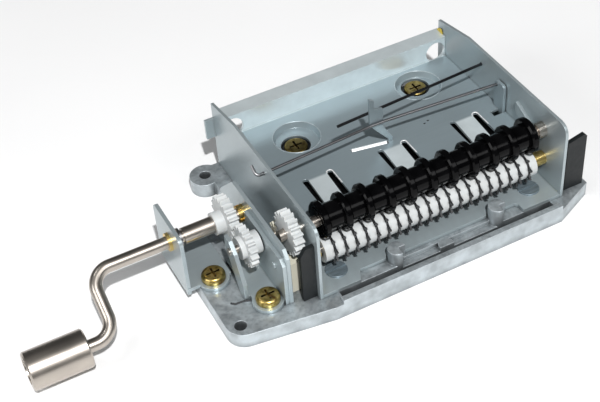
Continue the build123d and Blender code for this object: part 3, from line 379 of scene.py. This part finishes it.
# Painted shade darkens the spacers next to the star wheels.
SHADED_SPACER = moulded("shaded_spacer_look", (0.58, 0.6, 0.6), rough=(0.3, 0.45), glow=0.15, corner_shade_reach=0.9 * MM)
NODE_LOOKS = {
    "comb_screw_left": SHADED_SUNK_SCREW,
    "comb_screw_right": SHADED_SUNK_SCREW,
    "wire_short": plated("dark_wire_look", (0.07, 0.07, 0.075), lines=EVEN),
    "drum_spacers": SHADED_SPACER,
    "paper_table": sheet_metal("table_look", (0.33, 0.4, 0.43), lit=upstand_and_tongue_reflection),
}
for node, piece in NODES.items():
    look = NODE_LOOKS.get(node, LOOKS[SLOT_OF[node]])
    if piece.material_slots:
        for place in piece.material_slots:
            place.material = look
    else:
        piece.data.materials.append(look)


# Small marks on the paper table, the right wall and the base, in millimetres of the shared frame.
SLOT_R = 0.85
SLOT_OUT = 3.55
SLOT_LEG = 5
SLOT_STEPS = 10
RIM_R = 0.2
DIMPLES = ((-17.9, 37.5), (21.2, 39.5))
DIMPLE_R = 6.5
DIMPLE_RIM_R = 0.13
DIMPLE_STEPS = 48
HOOK_SLOT = ((1.6, 23.06), (-8.0, 24.89))
FLAP_PROFILE = ((0.52, 0.0), (0.35, -0.1), (0.1, -0.32), (-0.2, -0.6))
PITS = ((14.0, 24.4), (15.4, 25.0))
PIT_SIZE = (0.35, 0.25)
PIT_H = 0.04
PAINT = (34.9, 50.0, 21.9)
PAINT_SIZE = (1.5, 1.1)
PAINT_H = 0.12
BASE_Z = 4.3
DARK_LINE = ((-55.6, 1.7), (-54.7, 0.9), (-52.0, 0.6), (-50.3, -0.2), (-49.2, -0.8))
DARK_LINE_R = 0.3
TUBE_RESOLUTION = 2

# A dab's outline has three swells and nine ripples, and each ring has a share of its size and height.
DAB_STEPS = 36
DAB_SWELLS = 3
DAB_SWELL = 0.16
DAB_PHASE = 1
DAB_RIPPLES = 9
DAB_RIPPLE = 0.09
DAB_RINGS = ((1.0, 0.0), (0.6, 0.75))

# Painted highlight: the burrs and the cut edge of the hook slot are much lighter than the zinc.
BURR_HIGHLIGHT = blanked("burr_highlight_look", (0.85, 0.89, 0.91), rough=(0.28, 0.36), metal=0.3)
# Painted highlight: the dimple rims are lighter than the table.
DIMPLE_EDGE_HIGHLIGHT = blanked("dimple_edge_highlight_look", (0.5, 0.57, 0.6), rough=(0.3, 0.4), metal=0.5)
PAINT_LOOK = moulded("paint_look", (0.62, 0.46, 0.05), rough=(0.25, 0.4))
DARK_MARK = moulded("dark_mark_look", (0.02, 0.022, 0.025), rough=(0.5, 0.6))


def keep(piece, look):
    bpy.context.scene.collection.objects.link(piece)
    piece.data.materials.append(look)
    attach(piece, "frame")


def tube(name, points, radius, look):
    curve = bpy.data.curves.new(name, "CURVE")
    curve.dimensions = "3D"
    curve.bevel_depth = radius * MM
    curve.bevel_resolution = TUBE_RESOLUTION
    curve.use_fill_caps = True
    line = curve.splines.new("POLY")
    line.points.add(len(points) - 1)
    for place, (x, y, z) in zip(line.points, points):
        place.co = (x * MM, y * MM, z * MM, 1)
    keep(bpy.data.objects.new(name, curve), look)


def patch(name, points, faces, look):
    mesh = bpy.data.meshes.new(name)
    mesh.from_pydata(points, [], faces)
    mesh.shade_smooth()
    keep(bpy.data.objects.new(name, mesh), look)


def dab(name, centre, across, up, size, height, look):
    """A small uneven drop on the plane of across and up: two rings around a raised middle."""
    across = Vector(across)
    up = Vector(up)
    out = across.cross(up)
    ring = []
    for share, rise in DAB_RINGS:
        for k in range(DAB_STEPS):
            turn = math.tau * k / DAB_STEPS
            uneven = 1 + DAB_SWELL * math.sin(DAB_SWELLS * turn + DAB_PHASE)
            uneven += DAB_RIPPLE * math.sin(DAB_RIPPLES * turn)
            flat = across * (size[0] * share * uneven * math.cos(turn))
            flat += up * (size[1] * share * uneven * math.sin(turn))
            ring.append(flat + out * (height * rise))
    points = [(Vector(centre) + p) * MM for p in ring + [out * height]]
    count = DAB_STEPS
    faces = [(k, (k + 1) % count, count + (k + 1) % count, count + k) for k in range(count)]
    faces += [(count + k, count + (k + 1) % count, 2 * count) for k in range(count)]
    patch(name, points, faces, look)


def slot_rim(name, x):
    """The raised burr around the closed end of one tongue slot, lighter than the zinc as a painted
    highlight.
    """
    turns = [math.pi * k / SLOT_STEPS for k in range(SLOT_STEPS + 1)]
    arc = [(x + SLOT_R * math.cos(t), TONGUE_ROOT_Y + SLOT_R * math.sin(t), TABLE_Z) for t in turns]
    start = (x + SLOT_R, TONGUE_ROOT_Y - SLOT_LEG, TABLE_Z)
    tube(name, [start] + arc, RIM_R, BURR_HIGHLIGHT)


def dimple_rim(name, x, y):
    """The turned edge around one dimple, lighter than the table as a painted highlight."""
    turns = [math.tau * k / DIMPLE_STEPS for k in range(DIMPLE_STEPS + 1)]
    ring = [(x + DIMPLE_R * math.cos(t), y + DIMPLE_R * math.sin(t), TABLE_Z) for t in turns]
    tube(name, ring, DIMPLE_RIM_R, DIMPLE_EDGE_HIGHLIGHT)


def slot_flap(name):
    """The cut edge of the hook slot, rolled down towards the front, lighter than the zinc as a painted
    highlight.
    """
    ends = [Vector((x, y, TABLE_Z)) for x, y in HOOK_SLOT]
    along = (ends[1] - ends[0]).normalized()
    back = Vector((along.y, -along.x, 0))
    points = []
    for end in ends:
        points += [(end + back * shift + Vector((0, 0, drop))) * MM for shift, drop in FLAP_PROFILE]
    count = len(FLAP_PROFILE)
    faces = [(k, k + 1, count + k + 1, count + k) for k in range(count - 1)]
    patch(name, points, faces, BURR_HIGHLIGHT)


for number, x in enumerate(TONGUE_X, 1):
    slot_rim("slot_rim_%d" % number, x + SLOT_OUT)
slot_flap("hook_slot_edge_glint")
for number, (x, y) in enumerate(DIMPLES, 1):
    dimple_rim("dimple_rim_%d" % number, x, y)
# A thin dark line on the base, left of the gear-bracket screw.
tube("base_dark_line", [(x, y, BASE_Z) for x, y in DARK_LINE], DARK_LINE_R, DARK_MARK)
for number, (x, y) in enumerate(PITS, 1):
    middle = (x, y, TABLE_Z)
    dab("table_pit_%d" % number, middle, (1, 0, 0), (0, 1, 0), PIT_SIZE, PIT_H, DARK_MARK)
dab("paint_mark", PAINT, (0, 1, 0), (0, 0, -1), PAINT_SIZE, PAINT_H, PAINT_LOOK)


# Camera for the 600 x 402 picture: focal length in pixels and pose solved from the drum, walls and base.
FOCAL_PX = 1262.54
PICTURE_W = 600
SENSOR = 36.0
CLIP_START = 0.01
CLIP_END = 20
RIGHT = Vector((0.88513649, -0.46120501, -0.06183306))
DOWN = Vector((-0.35509064, -0.58357195, -0.73031118))
FORWARD = Vector((0.30073913, 0.66838142, -0.68031041))
EYE = Vector((-124.841, -198.747, 232.621)) * MM

camera_data = bpy.data.cameras.new("camera")
camera_data.sensor_width = SENSOR
camera_data.lens = FOCAL_PX / PICTURE_W * SENSOR
camera_data.clip_start = CLIP_START
camera_data.clip_end = CLIP_END
camera = bpy.data.objects.new("camera", camera_data)
bpy.context.scene.collection.objects.link(camera)
turn = Matrix((RIGHT, -DOWN, -FORWARD)).transposed()
camera.matrix_world = Matrix.Translation(EYE) @ turn.to_4x4()
bpy.context.scene.camera = camera


# Floor, in metres.
FLOOR_HALF = 3.0
FLOOR_Z = -0.0001
FLOOR_DARK = (0.93, 0.93, 0.93)
FLOOR_LIGHT = (0.96, 0.96, 0.96)

floor_mesh = bpy.data.meshes.new("floor")
corners = [(x * FLOOR_HALF, y * FLOOR_HALF, FLOOR_Z) for x, y in ((-1, -1), (1, -1), (1, 1), (-1, 1))]
floor_mesh.from_pydata(corners, [], [(0, 1, 2, 3)])
floor = bpy.data.objects.new("floor", floor_mesh)
bpy.context.scene.collection.objects.link(floor)
floor_look = Shader("floor_look", Roughness=0.6)
floor_clouds = floor_look.noise(12)
floor_look.color(floor_look.ramp(floor_clouds, ((NOISE_LOW, FLOOR_DARK), (NOISE_HIGH, FLOOR_LIGHT))))
floor_mesh.materials.append(floor_look.material)


# Lights: name, place and size in metres, power in watts. All point at the middle of the object.
MIDDLE = (0.0, 0.015, 0.01)
LIGHTS = (
    ("key", (-0.2, -0.67, 1.0), (0.035, 0.03), 15),
    ("front_card", (0.36, -0.8, 0.82), (0.5, 0.4), 1.9),
    ("left_card", (-0.8, -0.1, 0.5), (0.5, 0.4), 2.5),
    ("rear_left", (-0.45, 0.45, 1.0), (0.16, 0.16), 0.8),
)
SKY = (0.9, 0.92, 0.95, 1)
SKY_STRENGTH = 0.06

for name, at, size, power in LIGHTS:
    data = bpy.data.lights.new(name, "AREA")
    data.shape = "RECTANGLE"
    data.size, data.size_y = size
    data.energy = power
    lamp = bpy.data.objects.new(name, data)
    bpy.context.scene.collection.objects.link(lamp)
    lamp.location = at
    lamp.rotation_mode = "QUATERNION"
    lamp.rotation_quaternion = (Vector(MIDDLE) - Vector(at)).to_track_quat("-Z", "Y")

world = bpy.data.worlds.new("world")
world.use_nodes = True
background = world.node_tree.nodes["Background"]
background.inputs["Color"].default_value = SKY
background.inputs["Strength"].default_value = SKY_STRENGTH
bpy.context.scene.world = world
bpy.context.scene.view_settings.view_transform = "Standard"

bpy.context.view_layer.update()
